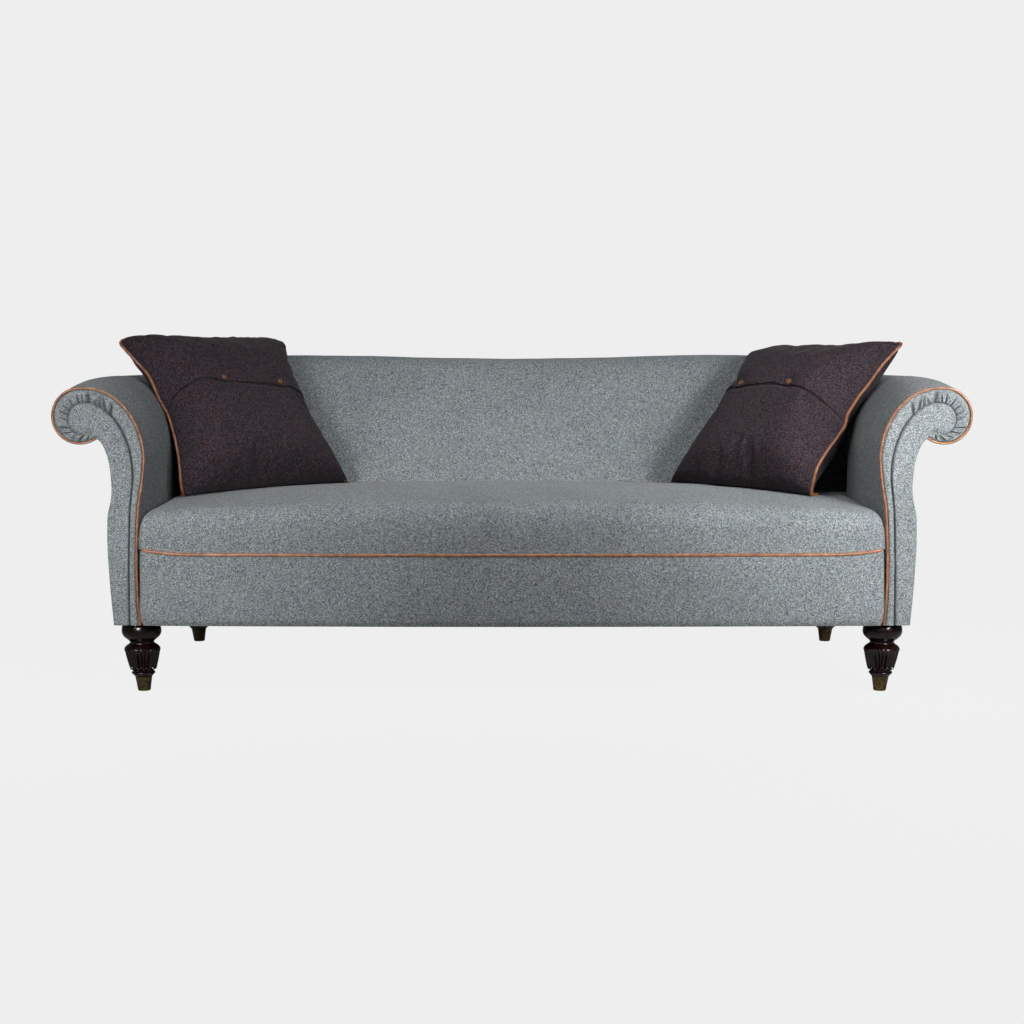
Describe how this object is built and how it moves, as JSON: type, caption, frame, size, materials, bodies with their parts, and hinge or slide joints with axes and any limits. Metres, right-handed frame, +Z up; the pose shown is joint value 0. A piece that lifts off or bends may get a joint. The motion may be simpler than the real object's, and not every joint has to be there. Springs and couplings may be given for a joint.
{
  "type": "sofa",
  "caption": "English roll arm sofa with a bow-fronted seat, pleated scroll facings, turned and fluted legs in ferrules, contrast piping and loose scatter cushions.",
  "frame": {"origin": "on the floor, at the middle of the bounding box's base", "axes": "+X along the sofa to the right of a viewer in front, +Y from the front to the back, +Z up"},
  "size_m": [2.2012, 0.971, 0.8665],
  "materials": {
    "tweed": "grey-blue wool tweed with a fleck",
    "dark_tweed": "dark brown-purple tweed with a rust fleck",
    "tan_leather": "tan leather piping",
    "button_leather": "brown leather over a button",
    "mahogany": "dark polished hardwood",
    "aged_brass": "antique brass",
    "beech": "planed, unfinished",
    "spring_steel": "bright drawn wire",
    "jute": "open jute weave",
    "wadding": "foam and fibre wadding",
    "black_cloth": "thin non-woven cloth"
  },
  "bodies": {
    "sofa": {"front_rail": "beech", "back_rail": "beech", "spring_rail": "beech", "seat_brace": "beech", "back_top_rail": "beech", "right_side_rail": "beech", "right_scroll_post": "beech", "right_back_post": "beech", "right_arm_rail": "beech", "right_back_upright": "beech", "right_front_corner_block": "beech", "right_rear_corner_block": "beech", "left_side_rail": "beech", "left_scroll_post": "beech", "left_back_post": "beech", "left_arm_rail": "beech", "left_back_upright": "beech", "left_front_corner_block": "beech", "left_rear_corner_block": "beech", "right_front_leg": "mahogany", "right_rear_leg": "mahogany", "left_front_leg": "mahogany", "left_rear_leg": "mahogany", "right_front_ferrule": "aged_brass", "right_rear_ferrule": "aged_brass", "left_front_ferrule": "aged_brass", "left_rear_ferrule": "aged_brass", "seat_spring_unit": "spring_steel", "seat_hessian": "jute", "back_webbing": "jute", "seat_pad": "wadding", "back_pad": "wadding", "right_arm_pad": "wadding", "left_arm_pad": "wadding", "seat_cover": "tweed", "front_border": "tweed", "inside_back_cover": "tweed", "outside_back_cover": "tweed", "right_inside_arm_cover": "tweed", "right_outside_arm_cover": "tweed", "right_scroll_panel": "tweed", "right_scroll_border": "tweed", "left_inside_arm_cover": "tweed", "left_outside_arm_cover": "tweed", "left_scroll_panel": "tweed", "left_scroll_border": "tweed", "seat_piping": "tan_leather", "right_arm_piping": "tan_leather", "left_arm_piping": "tan_leather", "dust_cover": "black_cloth"},
    "left_cushion": {"left_cushion": "dark_tweed", "left_cushion_piping": "tan_leather", "left_cushion_flap": "dark_tweed", "left_cushion_outer_button": "button_leather", "left_cushion_inner_button": "button_leather"},
    "right_cushion": {"right_cushion": "dark_tweed", "right_cushion_piping": "tan_leather", "right_cushion_flap": "dark_tweed", "right_cushion_outer_button": "button_leather", "right_cushion_inner_button": "button_leather"}
  },
  "joints": [
    {"name": "left_cushion_lift", "type": "slide", "parent": "sofa", "child": "left_cushion", "axis": [0, 0, 1], "range_m": [0, 0.4]},
    {"name": "right_cushion_lift", "type": "slide", "parent": "sofa", "child": "right_cushion", "axis": [0, 0, 1], "range_m": [0, 0.4]}
  ]
}
